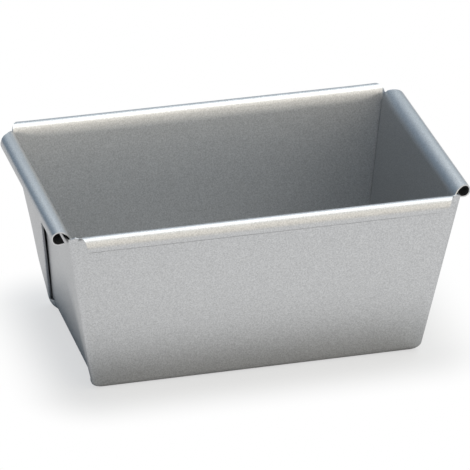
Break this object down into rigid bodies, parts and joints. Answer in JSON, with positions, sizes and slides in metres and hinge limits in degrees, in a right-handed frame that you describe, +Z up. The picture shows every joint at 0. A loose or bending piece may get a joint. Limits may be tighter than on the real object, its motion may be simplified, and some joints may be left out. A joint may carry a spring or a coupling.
{
  "type": "mini loaf pan",
  "caption": "Small rectangular loaf pan folded from thin steel sheet, with leaning walls, folded corner gussets, curled long rims and hollow rolled short rims, for baking small loaves.",
  "frame": {"origin": "centre of the flat underside of the base, on the surface the pan rests on", "axes": "+X along the length, from the left rim roll to the right one; +Y across, from the front wall to the back wall; +Z up, out of the open top"},
  "size_m": [0.1296, 0.0912, 0.0572],
  "materials": {
    "sheet": "satin coated steel sheet, bright grey, with a faint fine mottle"
  },
  "bodies": {
    "root": {"base_panel": "sheet", "front_wall": "sheet", "back_wall": "sheet", "left_end_wall": "sheet", "right_end_wall": "sheet", "front_left_gusset": "sheet", "front_right_gusset": "sheet", "back_left_gusset": "sheet", "back_right_gusset": "sheet", "front_rim_hem": "sheet", "back_rim_hem": "sheet", "left_rim_roll": "sheet", "right_rim_roll": "sheet"}
  },
  "joints": []
}
